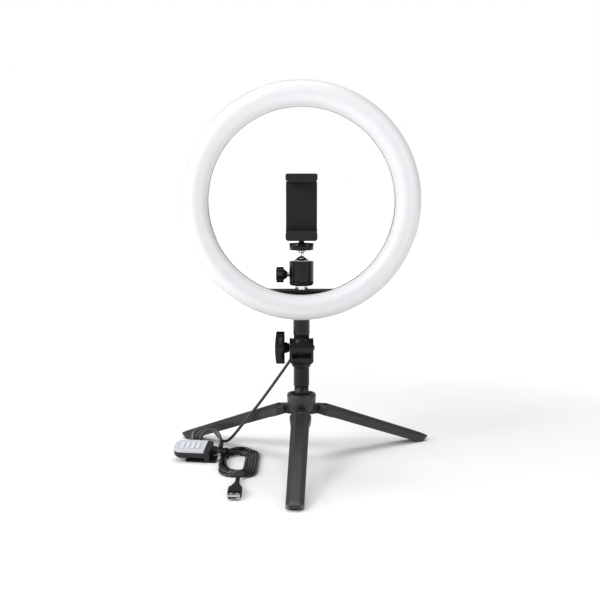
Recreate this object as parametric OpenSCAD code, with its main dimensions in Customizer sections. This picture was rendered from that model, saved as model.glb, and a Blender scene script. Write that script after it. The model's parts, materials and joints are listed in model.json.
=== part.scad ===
// Table ring light: a lit ring on a folding three-legged stand, with a tilt block,
// a ball head that carries a spring phone holder, and a wired remote on a USB cord.
// Millimetres. The origin is on the floor under the post, +Z is up, the lit side faces -Y.

/* [Ring lamp] */
// Diameter of the ring's open centre
ring_hole_d = 205; // [160:1:260]
// Width of the lit band, from the open centre to the rim
ring_band = 27.5; // [26:0.5:44]
// Depth of the black rear shell
shell_depth = 10; // [9:0.5:14]
// Length of the diffuser's straight skirt in front of the shell
skirt_depth = 5; // [3:0.5:10]
// Height of the diffuser's domed front above its skirt
dome_rise = 9; // [6:0.5:12]
// Wall of the rear shell
shell_wall = 2; // [1.6:0.1:2.6]
// Wall of the diffuser
diffuser_wall = 1.8; // [1.4:0.1:2.4]
// Thickness of the ring circuit board
board_t = 1.6; // [1:0.1:2]
// Number of lamps in each of the two circles
led_count = 60; // [30:2:72]

/* [Bridge] */
// Width of the bridge that joins the ring to the post
bridge_w = 110; // [90:1:120]
// Depth of the bridge, front to back
bridge_depth = 24; // [23.5:0.5:30]
// Wall of the bridge
bridge_wall = 2.2; // [1.8:0.1:2.8]
// How far the bridge stands up into the ring's open centre
bridge_rise = 3.6; // [1:0.1:6]
// Thickness of the bridge's rear cover
cover_t = 2; // [1.6:0.1:3]

/* [Post] */
// Outer diameter of the upper tube
upper_tube_d = 19.1; // [16:0.1:20]
// Outer diameter of the lower tube
lower_tube_d = 17.9; // [16:0.1:20]
// Wall of both tubes
tube_wall = 1.5; // [1:0.1:2]
// Length of the lower tube
lower_tube_h = 20.9; // [14:0.1:60]
// Height of the foot that screws onto the tripod
post_foot_h = 11.3; // [10:0.1:20]
// Distance from the tilt axis up to the ring's lower rim
tilt_to_ring = 35.3; // [33:0.1:60]
// Width of the tilt block across its cheeks
block_w = 27.2; // [26.5:0.1:32]
// Thickness of each cheek of the tilt block
cheek_t = 2.7; // [2.4:0.1:3.4]
// Radius of the barrel between the cheeks
barrel_r = 10.7; // [9.6:0.1:11]
// Radius of the cheeks' rounded tops
cheek_r = 11; // [10.5:0.1:12]
// Diameter of the tilt bolt
tilt_bolt_d = 6; // [5:0.5:7]

/* [Tripod] */
// Distance from a leg's pivot to the middle of its foot pad
leg_length = 145; // [110:1:220]
// Slope of the open legs below level, in degrees
leg_slope = 21; // [17:0.5:25]
// Distance from the post's axis to a leg's pivot
pivot_r = 25; // [23:0.5:30]
// Half width of a leg at its shoulder
leg_shoulder = 12; // [11:0.1:14]
// Half width of a leg near its tip
leg_tip_half = 9; // [8:0.1:10.5]
// Turn of the tripod about the post, in degrees
tripod_turn = -2.3; // [-10:0.1:10]
// Height of the hub
hub_h = 19.5; // [18:0.5:26]
// Largest radius of the hub
hub_r = 16.6; // [15.5:0.1:17]
// Diameter of the legs' hinge pins
leg_pin_d = 3; // [2.5:0.1:4]

/* [Ball head] */
// Diameter of the ball head's body
ball_body_d = 27.7; // [26:0.1:32]
// Height of the ball head, from nut to rim
ball_body_h = 27.3; // [26:0.1:32]
// Radius of the ball
ball_r = 10; // [9:0.1:10.5]
// Diameter of the quarter-inch camera thread
camera_thread_d = 6.35; // [6.35]
// Height of the hexagonal nut under the ball head
nut_h = 5.1; // [3:0.1:6]
// Diameter of the locking wheel
wheel_d = 27.4; // [22:0.1:30]
// Height of the locking wheel
wheel_h = 7.9; // [6:0.1:9]

/* [Phone holder] */
// Width of the phone holder
holder_w = 35.3; // [33:0.1:42]
// Opening between the jaws when they are closed
jaw_gap = 56.2; // [50:0.1:70]
// Travel of the sliding jaw
jaw_travel = 29; // [20:1:30]
// Height of the lower jaw
lower_jaw_h = 10.1; // [9.5:0.1:14]
// Height of the sliding jaw
upper_jaw_h = 7.8; // [6:0.1:10]
// How far the jaws reach in front of the post's axis
jaw_reach = 15; // [12:0.5:20]

/* [Remote] */
// Length of the remote's housing
remote_l = 43.5; // [42:0.5:60]
// Width of the remote's housing
remote_w = 25; // [22:1:30]
// Height of the remote's housing
remote_h = 11; // [10:0.5:14]
// Distance between the middles of neighbouring buttons
button_pitch = 6; // [5.6:0.1:8]
// Travel of a button
button_travel = 0.6; // [0.4:0.1:0.8]

/* [Cord] */
// Diameter of the cord
cord_d = 3.4; // [2.8:0.1:3.6]

/* [Fits] */
// Radial clearance of a turning fit
running_gap = 0.05; // [0.02:0.01:0.1]
// Gap between faces that move past each other
sliding_gap = 0.3; // [0.2:0.05:0.4]

/* [Hidden] */
$fn = 96;
cut = 1;            // how far a cutting shape runs past the face that it opens
thread_r = camera_thread_d / 2;

// Heights, from the floor up
foot_pad_h = 2.6;
foot_centre_z = 5;
pivot_z = foot_centre_z + leg_length * sin(leg_slope);
hub_bottom_z = pivot_z + 0.5;
hub_top_z = hub_bottom_z + hub_h;
hub_recess = 3;
hub_recess_r = 12.2;
hub_pad_t = 1;
foot_z = hub_top_z - hub_recess + hub_pad_t;
lower_tube_z = foot_z + post_foot_h;
taper_h = 7;
clevis_z = lower_tube_z + lower_tube_h;
block_z = clevis_z + taper_h;
fork_floor = 4.5;
tilt_z = block_z + fork_floor + barrel_r + sliding_gap;
collar_z = tilt_z + cheek_r + sliding_gap;
collar_h = 4.4;
upper_tube_z = collar_z + collar_h;
ring_r = ring_hole_d / 2 + ring_band;
ring_hole_r = ring_hole_d / 2;
ring_z = tilt_z + tilt_to_ring + ring_r;
bridge_r = ring_r - 2;
bridge_top_z = ring_z - ring_hole_r + bridge_rise;
bridge_bottom_z = ring_z - bridge_r;
tube_top_z = bridge_bottom_z + 19;
ball_base_z = bridge_top_z + nut_h;
ball_base_h = 4.3;
ball_groove = 0.6;
ball_body_z = ball_base_z + ball_base_h + ball_groove;
ball_rim_z = ball_base_z + ball_body_h;
ball_z = ball_rim_z - 0.48 * ball_r;
wheel_z = ball_rim_z + 12.4;
holder_z = wheel_z + wheel_h + 2.8;
plate_z = holder_z + lower_jaw_h;
jaw_z = plate_z + jaw_gap;
jaw_top_z = jaw_z + upper_jaw_h;

// The ring's layers, counted forward from its back face
ring_back_y = -bridge_depth / 2;
board_h = 4.6;
ring_mid_r = ring_hole_r + ring_band / 2;
dome_r = (pow(ring_band / 2, 2) + pow(dome_rise, 2)) / (2 * dome_rise);
skirt_top = shell_depth + skirt_depth;
ledge_w = 2.5;
boss_r = 3;
screw_r = 1.5;
screw_head_r = 2.8;
screw_head_h = 1.6;
shell_screw_l = 14;
shell_screw_angles = [for (k = [0 : 5]) 30 + 60 * k];
bridge_screw_x = [-41, -22, 22, 41];
cover_screw_x = [-47, -30, 30, 47];

// Legs point away from the post at these angles
leg_angles = [270 + tripod_turn, 30 + tripod_turn, 150 + tripod_turn];
lug_half = 5.1;
pin_half = 8;
lug_r = 5;
slot_half = lug_half + sliding_gap;
leg_pin_r = leg_pin_d / 2;
leg_section_step = 0.6;
leg_end_x = leg_length + 11;
foot_r = pivot_r + leg_length * cos(leg_slope) + 1.2;

// Tilt block
cheek_in = block_w / 2 - cheek_t;
tilt_bolt_r = tilt_bolt_d / 2;
knob_in_x = -block_w / 2 - 5.6;
knob_t = 10.9;
knob_half = 18.65;
nut_t = 1.9;

// Ball head
ball_body_r = ball_body_d / 2;
ball_play = 0.1;
cup_z = ball_base_z + 8.6;
lock_z = ball_z - 10.4;
lock_screw_r = 2.5;
lock_tip_x = -7.9;

// Phone holder, front to back
pad_t = 0.8;
plate_front_y = -1.4;
channel_y = 0.6;
channel_d = 5.8;
holder_cover_t = 2;
cover_y = channel_y + channel_d;
holder_back_y = cover_y + holder_cover_t;
slider_half = holder_w / 2 - 3.05;
lug_reach = 1.2;
slider_l = jaw_travel + 13;
slider_z = jaw_z - slider_l;
narrow_z = slider_z + 3 + jaw_travel + sliding_gap;
spring_x = 9;
spring_r = 2;
spring_wire = 0.45;
spring_turns = 8;
lip = 1.5;

// Remote: where its housing's underside is centred, how it is turned and how it leans
remote_at = [-123.8, -5, 6.7];
remote_yaw = -8;
remote_lean = 15;
remote_floor = 1.4;
remote_lid_h = 2.4;
remote_lid_end = 15;
button_w = 4.6;
button_l = 12.6;
button_proud = 0.6;
clip_t = 1.6;
clip_gap = 1.9;
board_z = 4;
boot_z = 5.8;

// Loose cord
cord_r = cord_d / 2;
gland_y = 17;
gland_top_z = bridge_bottom_z + 1.5;
gland_l = 11.5;
tie_at = [-88.7, -2, 6.3];
tie_size = [9.6, 4, 12.6];
tie_wall = 1.1;

// The lamp's cord, from its gland down behind the post and over to the tie
lamp_route = [
    [0, 17, 157], [0, 17, 150], [-0.5, 17.5, 142], [-2.5, 18, 133], [-6, 19, 123], [-11, 20, 114],
    [-17, 20.5, 105.5], [-24, 21, 95.5], [-31, 21, 85.5], [-38, 21, 75.5], [-46, 21, 64.5], [-54, 20.5, 54],
    [-62, 20, 44], [-70, 19.5, 34.5], [-77, 19, 26], [-83, 18.5, 18.5],
    [-87.5, 16, 13.4], [-89.4, 9, 11.4], [-90, 2, 10.2], [-90, -4, 10.2]
];
cord_top_z = bridge_bottom_z - 9.96;
cord_lift = (cord_top_z - 20) / 137;
lamp_steps = 26;

// ---------------------------------------------------------------- helpers

// A flat plate with rounded upright edges, standing on z = 0
module rounded_plate(size, r) {
    linear_extrude(size[2]) offset(r = r, $fn = 32) square([size[0] - 2 * r, size[1] - 2 * r], center = true);
}

// A rod along X between two x values
module x_rod(x0, x1, r) {
    translate([x0, 0, 0]) rotate([0, 90, 0]) cylinder(r = r, h = x1 - x0);
}

// A rod along Y between two y values
module y_rod(y0, y1, r) {
    translate([0, y0, 0]) rotate([-90, 0, 0]) cylinder(r = r, h = y1 - y0);
}

// Turns a profile of radius and depth about the ring's axis; depth counts forward from the ring's back
module ring_spin() {
    translate([0, ring_back_y, ring_z]) rotate([90, 0, 0]) rotate_extrude($fn = 180) children();
}

// Places children at an angle on the ring, with z pointing forward from the ring's back
module on_ring(angle, r) {
    translate([0, ring_back_y, ring_z]) rotate([90, 0, 0]) rotate([0, 0, angle]) translate([r, 0, 0]) children();
}

// A leg's frame: x along the leg from its pivot, z square to its top
module leg_frame(angle) {
    rotate([0, 0, angle]) translate([pivot_r, 0, pivot_z]) rotate([0, leg_slope, 0]) children();
}

// The remote's frame, with its underside at z = 0
module remote_frame() {
    translate(remote_at) rotate([0, 0, remote_yaw]) rotate([remote_lean, 0, 0]) children();
}

// Points of an arc
function arc(c, r, a0, a1, n) = [for (k = [0 : n]) c + r * [cos(a0 + (a1 - a0) * k / n), sin(a0 + (a1 - a0) * k / n)]];

// A point of a smooth curve through p, at t from 0 to its last index
function spline_at(p, t) =
    let (i = min(floor(t), len(p) - 2), u = t - i,
         a = p[max(i - 1, 0)], b = p[i], c = p[i + 1], d = p[min(i + 2, len(p) - 1)])
    0.5 * (2 * b + (c - a) * u + (2 * a - 5 * b + 4 * c - d) * u * u + (3 * b - a - 3 * c + d) * u * u * u);
function unit(v) = v / norm(v);
function heading(p, k) = unit(p[min(k + 1, len(p) - 1)] - p[max(k - 1, 0)]);

// A tube swept along points, whose rings stay square to a steady side direction
module tube(points, r, sides, side) {
    last = len(points) - 1;
    rings = [for (k = [0 : last])
        let (h = heading(points, k), x = unit(cross(side, h)), y = cross(h, x))
        for (s = [0 : sides - 1]) points[k] + r * (cos(360 * s / sides) * x + sin(360 * s / sides) * y)];
    walls = [for (k = [0 : last - 1]) for (s = [0 : sides - 1])
        let (a = k * sides + s, b = k * sides + (s + 1) % sides)
        each [[a, a + sides, b], [b, a + sides, b + sides]]];
    first_cap = [for (s = [1 : sides - 2]) [0, s, s + 1]];
    last_cap = [for (s = [1 : sides - 2]) [last * sides, last * sides + s + 1, last * sides + s]];
    polyhedron(points = rings, faces = concat(walls, first_cap, last_cap), convexity = 6);
}

// ---------------------------------------------------------------- tripod

module hub_body() {
    color([0.17, 0.17, 0.18]) difference() {
        union() {
            translate([0, 0, hub_bottom_z]) rotate_extrude() polygon([
                [0, 0], [hub_r - 4, 0], [hub_r - 2.6, 1.4], [hub_r - 1.2, 5], [hub_r - 0.4, 9],
                [hub_r, hub_h - 3.6], [hub_r, hub_h - 1.4], [hub_r - 1.3, hub_h],
                [hub_recess_r + 0.6, hub_h], [hub_recess_r, hub_h - 0.8],
                [hub_recess_r, hub_h - hub_recess], [0, hub_h - hub_recess]]);
            translate([0, 0, pivot_z - lug_r]) cylinder(r = 8.5, h = lug_r + cut);
            for (a = leg_angles) rotate([0, 0, a]) {
                translate([0, -lug_half, pivot_z - lug_r]) cube([pivot_r, 2 * lug_half, 2 * lug_r]);
                translate([pivot_r, 0, pivot_z]) y_rod(-lug_half, lug_half, lug_r);
            }
        }
        for (a = leg_angles) rotate([0, 0, a]) translate([pivot_r, 0, pivot_z])
            y_rod(-lug_half - cut, lug_half + cut, leg_pin_r);
        tripod_stud_shape();
    }
}

module hub_pad() {
    color([0.07, 0.07, 0.07]) translate([0, 0, hub_top_z - hub_recess]) difference() {
        cylinder(r = hub_recess_r - 0.2, h = hub_pad_t);
        translate([0, 0, -cut]) cylinder(r = thread_r + 0.4, h = hub_pad_t + 2 * cut);
    }
}

// The stud's shape, which is also the pocket that it is moulded into
module tripod_stud_shape() {
    translate([0, 0, hub_top_z - hub_recess - 6]) cylinder(r = thread_r, h = 6 + hub_pad_t + 8);
    translate([0, 0, hub_top_z - hub_recess - 6]) cylinder(r = 8, h = 2.5);
}

module tripod_stud() {
    color([0.75, 0.75, 0.77]) tripod_stud_shape();
}

module leg_pins() {
    color([0.7, 0.7, 0.72]) for (a = leg_angles)
        rotate([0, 0, a]) translate([pivot_r, 0, pivot_z]) y_rod(-pin_half, pin_half, leg_pin_r);
}

// One cross-section of a leg: a flat top, sloping shoulders and upright sides
module leg_section(x, half, t, lift) {
    top_half = 4.5;
    drop = 0.34 * t;
    translate([x, 0, lift]) rotate([90, 0, 90]) linear_extrude(leg_section_step) polygon([
        [-top_half, t / 2], [-half, t / 2 - drop], [-half, 1.2 - t / 2], [1.2 - half, -t / 2],
        [half - 1.2, -t / 2], [half, 1.2 - t / 2], [half, t / 2 - drop], [top_half, t / 2]]);
}

module leg_outside() {
    tip_x = leg_length + 5;
    hull() {
        leg_section(-5.4, leg_shoulder - 4.4, 10.6, -1.6);
        leg_section(2.4, leg_shoulder, 12.8, -0.4);
    }
    hull() {
        leg_section(2.4, leg_shoulder, 12.8, -0.4);
        leg_section(9, leg_shoulder - 0.2, 13.6, 0.2);
    }
    hull() {
        leg_section(9, leg_shoulder - 0.2, 13.6, 0.2);
        leg_section(17, leg_shoulder - 2, 13.2, 0.5);
    }
    hull() {
        leg_section(17, leg_shoulder - 2, 13.2, 0.5);
        leg_section(tip_x, leg_tip_half, 11.6, 1);
    }
    hull() {
        leg_section(tip_x, leg_tip_half, 11.6, 1);
        translate([leg_end_x, 0, 4.6]) rotate([90, 0, 0]) cylinder(r = 1.8, h = 2 * leg_tip_half - 7, center = true, $fn = 24);
    }
}

// A foot pad's side view: a flat sole with rounded lower corners
module foot_shape(angle) {
    sole = 4;
    corner = 1;
    rotate([0, 0, angle]) translate([foot_r, 0, 0]) rotate([90, 0, 0])
        linear_extrude(12, center = true) polygon(concat(
            [[sole + corner, foot_pad_h], [-sole - corner, foot_pad_h]],
            arc([-sole, corner], corner, 180, 270, 5), arc([sole, corner], corner, 270, 360, 5)));
}

module leg(angle) {
    pockets = 4;
    rib = 2.4;
    first = 26;
    pocket_l = (leg_length - 14 - first) / pockets;
    color([0.27, 0.27, 0.27]) difference() {
        leg_frame(angle) difference() {
            leg_outside();
            translate([-12, -slot_half, -12]) cube([12 + lug_r + 1, 2 * slot_half, 24]);
            y_rod(-pin_half - 0.2, pin_half + 0.2, leg_pin_r + running_gap);
            for (k = [0 : pockets - 1]) translate([first + k * pocket_l, -6.3, -12])
                cube([pocket_l - rib, 12.6, 12 - 1.2]);
        }
        foot_shape(angle);
        rotate([0, 0, angle]) translate([pivot_r + leg_length * 0.8, -15, -20]) cube([60, 30, 20.6]);
    }
}

module foot(angle) {
    color([0.06, 0.06, 0.06]) foot_shape(angle);
}

module leg_front() leg(leg_angles[0]);
module leg_right() leg(leg_angles[1]);
module leg_left() leg(leg_angles[2]);
module foot_front() foot(leg_angles[0]);
module foot_right() foot(leg_angles[1]);
module foot_left() foot(leg_angles[2]);

// ---------------------------------------------------------------- post and tilt block

lower_bore_r = lower_tube_d / 2 - tube_wall;
upper_bore_r = upper_tube_d / 2 - tube_wall;
spigot_l = 6;

module post_foot() {
    color([0.1, 0.1, 0.11]) difference() {
        union() {
            translate([0, 0, foot_z]) cylinder(d = lower_tube_d - 1.6, h = post_foot_h);
            translate([0, 0, foot_z]) cylinder(r = lower_bore_r, h = post_foot_h + spigot_l);
        }
        translate([0, 0, foot_z - cut]) cylinder(r = thread_r, h = 9 + cut);
    }
}

module lower_tube() {
    color([0.12, 0.12, 0.13]) translate([0, 0, lower_tube_z]) difference() {
        cylinder(d = lower_tube_d, h = lower_tube_h);
        translate([0, 0, -cut]) cylinder(r = lower_bore_r, h = lower_tube_h + 2 * cut);
    }
}

module clevis() {
    color([0.09, 0.09, 0.1]) difference() {
        union() {
            translate([0, 0, clevis_z - spigot_l]) cylinder(r = lower_bore_r, h = spigot_l + cut);
            translate([0, 0, clevis_z]) rotate_extrude() polygon([
                [0, 0], [lower_tube_d / 2 + 0.3, 0], [cheek_r - 0.7, 1.4], [cheek_r - 0.2, 2.2],
                [cheek_r - 0.2, taper_h + 1], [0, taper_h + 1]]);
            translate([0, cheek_r, 0]) rotate([90, 0, 0]) linear_extrude(2 * cheek_r) polygon([
                [-block_w / 2, block_z + 1], [-block_w / 2 + 2.4, block_z - 1.6],
                [block_w / 2 - 2.4, block_z - 1.6], [block_w / 2, block_z + 1]]);
            translate([-block_w / 2, 0, tilt_z]) rotate([90, 0, 90]) linear_extrude(block_w) polygon(concat(
                [[-cheek_r, block_z + 1 - tilt_z], [cheek_r, block_z + 1 - tilt_z]],
                arc([0, 0], cheek_r, 0, 180, 24)));
        }
        translate([-cheek_in, -cheek_r - cut, block_z + fork_floor])
            cube([2 * cheek_in, 2 * (cheek_r + cut), tilt_z]);
        translate([0, 0, tilt_z]) x_rod(-block_w, block_w, tilt_bolt_r + running_gap);
        translate([0, 0, tilt_z]) tilt_nut_outside();
    }
}

module tilt_nut_outside() {
    translate([block_w / 2 - nut_t, 0, 0]) rotate([0, 90, 0]) cylinder(r = 5.8, h = nut_t + 0.01, $fn = 6);
}

module tilt_nut() {
    color([0.15, 0.15, 0.16]) translate([0, 0, tilt_z]) difference() {
        tilt_nut_outside();
        x_rod(0, block_w, tilt_bolt_r + running_gap);
    }
}

module tilt_bolt() {
    color([0.2, 0.2, 0.22]) translate([0, 0, tilt_z]) {
        x_rod(knob_in_x - 6, block_w / 2 + 0.8, tilt_bolt_r);
        translate([block_w / 2 + 0.8, 0, 0]) rotate([0, 90, 0]) cylinder(r1 = tilt_bolt_r, r2 = 1.6, h = 0.8);
    }
}

// A wing knob, bowed on its outer side, with a stepped neck towards the block
module tilt_knob() {
    bow = 1.5;
    bow_r = (pow(knob_half, 2) + pow(bow, 2)) / (2 * bow);
    color([0.08, 0.08, 0.09]) translate([0, 0, tilt_z]) difference() {
        union() {
            intersection() {
                translate([knob_in_x - knob_t, 0, 0]) rotate([0, 90, 0]) linear_extrude(knob_t) hull() {
                    circle(r = 8, $fn = 32);
                    for (s = [-1, 1]) translate([s * (knob_half - 4.5), 0]) circle(r = 4.5, $fn = 32);
                }
                translate([knob_in_x - knob_t + bow_r, 0, 0]) y_rod(-20, 20, bow_r);
            }
            x_rod(knob_in_x, knob_in_x + 3.2, 6.2);
            x_rod(knob_in_x, -block_w / 2 - sliding_gap, 5.1);
        }
        x_rod(knob_in_x - 6, 0, tilt_bolt_r);
    }
}

module tilt_tongue() {
    color([0.08, 0.08, 0.09]) difference() {
        union() {
            translate([0, 0, tilt_z]) x_rod(-cheek_in + sliding_gap / 2, cheek_in - sliding_gap / 2, barrel_r);
            translate([0, 0, tilt_z]) cylinder(d = upper_tube_d - 1.3, h = upper_tube_z - tilt_z);
            translate([0, 0, upper_tube_z]) cylinder(r = upper_bore_r, h = 2 * spigot_l);
        }
        translate([0, 0, tilt_z]) x_rod(-block_w, block_w, tilt_bolt_r + running_gap);
    }
}

module upper_tube() {
    color([0.06, 0.06, 0.07]) translate([0, 0, upper_tube_z]) difference() {
        cylinder(d = upper_tube_d, h = tube_top_z - upper_tube_z);
        translate([0, 0, -cut]) cylinder(r = upper_bore_r, h = tube_top_z);
    }
}

// ---------------------------------------------------------------- bridge

// The bridge's outline about the ring's axis: the lower part of a disc, cut straight across
module bridge_outline(inset) {
    intersection() {
        circle(r = bridge_r - inset, $fn = 180);
        translate([-bridge_w / 2 + inset, -bridge_r])
            square([bridge_w - 2 * inset, bridge_r - ring_hole_r + bridge_rise - inset]);
    }
}

// The outline as a slab between two y values
module bridge_slab(y0, y1, inset) {
    translate([0, y1, ring_z]) rotate([90, 0, 0]) linear_extrude(y1 - y0) bridge_outline(inset);
}

// Where the screws stand on the ring's middle circle, below the ring's axis
module at_bridge_x(xs) {
    for (x = xs) translate([x, 0, ring_z - sqrt(pow(ring_mid_r, 2) - x * x)]) children();
}

module bridge_body() {
    post_r = upper_tube_d / 2 + bridge_wall;
    color([0.05, 0.05, 0.05]) difference() {
        union() {
            difference() {
                bridge_slab(ring_back_y, -ring_back_y, 0);
                bridge_slab(ring_back_y + bridge_wall, -ring_back_y + cut, bridge_wall);
            }
            intersection() {
                translate([0, 0, bridge_bottom_z - cut]) cylinder(r = post_r, h = 21 + cut);
                bridge_slab(ring_back_y, -ring_back_y, 0);
            }
            at_bridge_x(cover_screw_x) y_rod(ring_back_y + cut, -ring_back_y, boss_r);
        }
        translate([0, 0, bridge_bottom_z - cut]) cylinder(d = upper_tube_d, h = tube_top_z - bridge_bottom_z + cut);
        translate([0, 0, bridge_top_z - 10]) cylinder(r = thread_r, h = 20);
        at_bridge_x(bridge_screw_x) y_rod(ring_back_y - cut, 0, screw_r);
        at_bridge_x(cover_screw_x) y_rod(-ring_back_y - 8, -ring_back_y + cut, screw_r);
    }
}

module cover_screw_shape() {
    back = -ring_back_y + cover_t;
    at_bridge_x(cover_screw_x) {
        y_rod(-ring_back_y - 8, back, screw_r);
        y_rod(back - 0.8, back, screw_head_r);
    }
}

module bridge_cover() {
    hood_w = 13;
    hood_d = 6.5;
    color([0.06, 0.06, 0.06]) difference() {
        union() {
            bridge_slab(-ring_back_y, -ring_back_y + cover_t, 0);
            translate([-hood_w / 2, -ring_back_y, gland_top_z]) cube([hood_w, hood_d + cover_t, 15]);
        }
        cover_screw_shape();
        translate([0, gland_y, gland_top_z - cut]) cylinder(r = cord_r + 0.3, h = 10);
        translate([-4, -ring_back_y - cut, gland_top_z + 5]) cube([8, gland_y + ring_back_y + cut, 6]);
    }
}

module cover_screws() {
    color([0.35, 0.35, 0.36]) cover_screw_shape();
}

// Tapered, ribbed strain relief that hangs from the cover's hood
module cable_gland() {
    ribs = 4;
    color([0.05, 0.05, 0.05]) translate([0, gland_y, gland_top_z]) difference() {
        union() {
            translate([0, 0, -gland_l]) cylinder(r1 = cord_r + 0.7, r2 = 3.1, h = gland_l);
            for (k = [0 : ribs - 1]) translate([0, 0, -3.4 - 2.1 * k]) cylinder(r = 3.2 - 0.22 * k, h = 1);
        }
        translate([0, 0, -gland_l - cut]) cylinder(r = cord_r, h = gland_l + 2 * cut);
    }
}

module bridge_stud() {
    color([0.72, 0.72, 0.74]) {
        translate([0, 0, bridge_top_z - bridge_wall - 4]) cylinder(r = 6.2, h = 4, $fn = 6);
        translate([0, 0, bridge_top_z - bridge_wall - 4]) cylinder(r = thread_r, h = 4 + bridge_wall + nut_h + 6.6);
    }
}

module stud_nut() {
    color([0.8, 0.78, 0.78]) translate([0, 0, bridge_top_z]) difference() {
        cylinder(r = 7.3, h = nut_h, $fn = 6);
        translate([0, 0, -cut]) cylinder(r = thread_r, h = nut_h + 2 * cut);
    }
}

// ---------------------------------------------------------------- ring lamp

module shell_screw_shape() {
    for (a = shell_screw_angles) on_ring(a, ring_mid_r) {
        cylinder(r = screw_r, h = shell_screw_l);
        cylinder(r = screw_head_r, h = screw_head_h);
    }
}

module bridge_screw_shape() {
    at_bridge_x(bridge_screw_x) {
        y_rod(ring_back_y - board_h + 0.6, ring_back_y + bridge_wall, screw_r);
        y_rod(ring_back_y + bridge_wall, ring_back_y + bridge_wall + screw_head_h, screw_head_r);
    }
}

module shell_screws() {
    color([0.35, 0.35, 0.36]) {
        shell_screw_shape();
        bridge_screw_shape();
    }
}

// A channel with round rear corners and a ledge inside each wall for the board
module rear_shell() {
    corner = 4;
    color([0.05, 0.05, 0.05]) difference() {
        union() {
            ring_spin() polygon(concat(
                arc([ring_r - corner, corner], corner, -90, 0, 6),
                [[ring_r, shell_depth], [ring_r - shell_wall, shell_depth], [ring_r - shell_wall, board_h],
                 [ring_r - shell_wall - ledge_w, board_h], [ring_r - shell_wall - ledge_w, shell_wall],
                 [ring_hole_r + shell_wall + ledge_w, shell_wall], [ring_hole_r + shell_wall + ledge_w, board_h],
                 [ring_hole_r + shell_wall, board_h], [ring_hole_r + shell_wall, shell_depth],
                 [ring_hole_r, shell_depth]],
                arc([ring_hole_r + corner, corner], corner, 180, 270, 6)));
            for (a = shell_screw_angles) on_ring(a, ring_mid_r) cylinder(r = boss_r + 1.2, h = board_h);
            at_bridge_x(bridge_screw_x) y_rod(ring_back_y - board_h, ring_back_y, boss_r);
        }
        shell_screw_shape();
        bridge_screw_shape();
    }
}

// The domed front's profile, set in from its outside by a wall
module diffuser_profile(inset) {
    intersection() {
        translate([ring_mid_r, skirt_top + dome_rise - dome_r]) circle(r = dome_r - inset, $fn = 180);
        translate([ring_hole_r + inset, skirt_top - 4]) square([ring_band - 2 * inset, dome_rise + 8]);
    }
    translate([ring_hole_r + inset, shell_depth - (inset > 0 ? cut : 0)])
        square([ring_band - 2 * inset, skirt_depth + (inset > 0 ? cut : 0) - 1]);
}

module diffuser() {
    color([0.93, 0.93, 0.94]) difference() {
        union() {
            ring_spin() difference() {
                diffuser_profile(0);
                diffuser_profile(diffuser_wall);
            }
            for (a = shell_screw_angles) on_ring(a, ring_mid_r) translate([0, 0, board_h + board_t])
                cylinder(r = boss_r, h = skirt_top + dome_rise - diffuser_wall - board_h - board_t + 0.4);
        }
        shell_screw_shape();
    }
}

module led_board() {
    color([0.9, 0.9, 0.88]) difference() {
        ring_spin() translate([ring_hole_r + shell_wall + 0.2, board_h])
            square([ring_band - 2 * shell_wall - 0.4, board_t]);
        shell_screw_shape();
    }
}

module led_chips() {
    chip = [2.8, 3.5, 0.7];
    color([0.95, 0.85, 0.45]) for (k = [0 : led_count - 1]) for (side = [-1, 1])
        on_ring((k + 0.5 + side * 0.12) * 360 / led_count, ring_mid_r + side * 6.2)
            translate([-chip[0] / 2, -chip[1] / 2, board_h + board_t]) cube(chip);
}

// ---------------------------------------------------------------- ball head

module ball_head_base() {
    color([0.06, 0.06, 0.07]) translate([0, 0, ball_base_z]) difference() {
        union() {
            cylinder(r1 = ball_body_r - 1.6, r2 = ball_body_r, h = 1.8);
            translate([0, 0, 1.8]) cylinder(r = ball_body_r, h = ball_base_h - 1.8);
            cylinder(r = ball_r - 0.4, h = 8);
        }
        translate([0, 0, -cut]) cylinder(r = thread_r + running_gap, h = 8 + 2 * cut);
    }
}

module ball_head_body() {
    bore_r = ball_r + 0.15;
    color([0.06, 0.06, 0.07]) difference() {
        union() {
            translate([0, 0, ball_body_z]) cylinder(r = ball_body_r, h = ball_rim_z - ball_body_z - 0.7);
            translate([0, 0, ball_rim_z - 0.7]) cylinder(r1 = ball_body_r, r2 = ball_body_r - 0.7, h = 0.7);
        }
        translate([0, 0, ball_body_z - cut]) cylinder(r = bore_r, h = ball_z - ball_body_z + cut);
        translate([0, 0, ball_z]) sphere(r = ball_r + ball_play);
        translate([0, 0, lock_z]) x_rod(-ball_body_r - cut, 0, lock_screw_r + running_gap);
        translate([0, 0, ball_body_z - cut]) cylinder(r = ball_r - 0.4, h = 2);
    }
}

module ball_cup() {
    color([0.85, 0.85, 0.82]) difference() {
        translate([0, 0, cup_z]) cylinder(r = ball_r, h = ball_z - cup_z - 2.5);
        translate([0, 0, ball_z]) sphere(r = ball_r + ball_play);
        translate([0, 0, lock_z]) x_rod(-ball_r - cut, lock_tip_x + 1.2, lock_screw_r + 0.5);
        translate([0, 0, cup_z - cut]) cylinder(r = 4, h = 20);
    }
}

module lock_screw() {
    color([0.7, 0.7, 0.72]) translate([0, 0, lock_z]) {
        x_rod(-ball_body_r - 6, lock_tip_x, lock_screw_r);
    }
}

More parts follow.
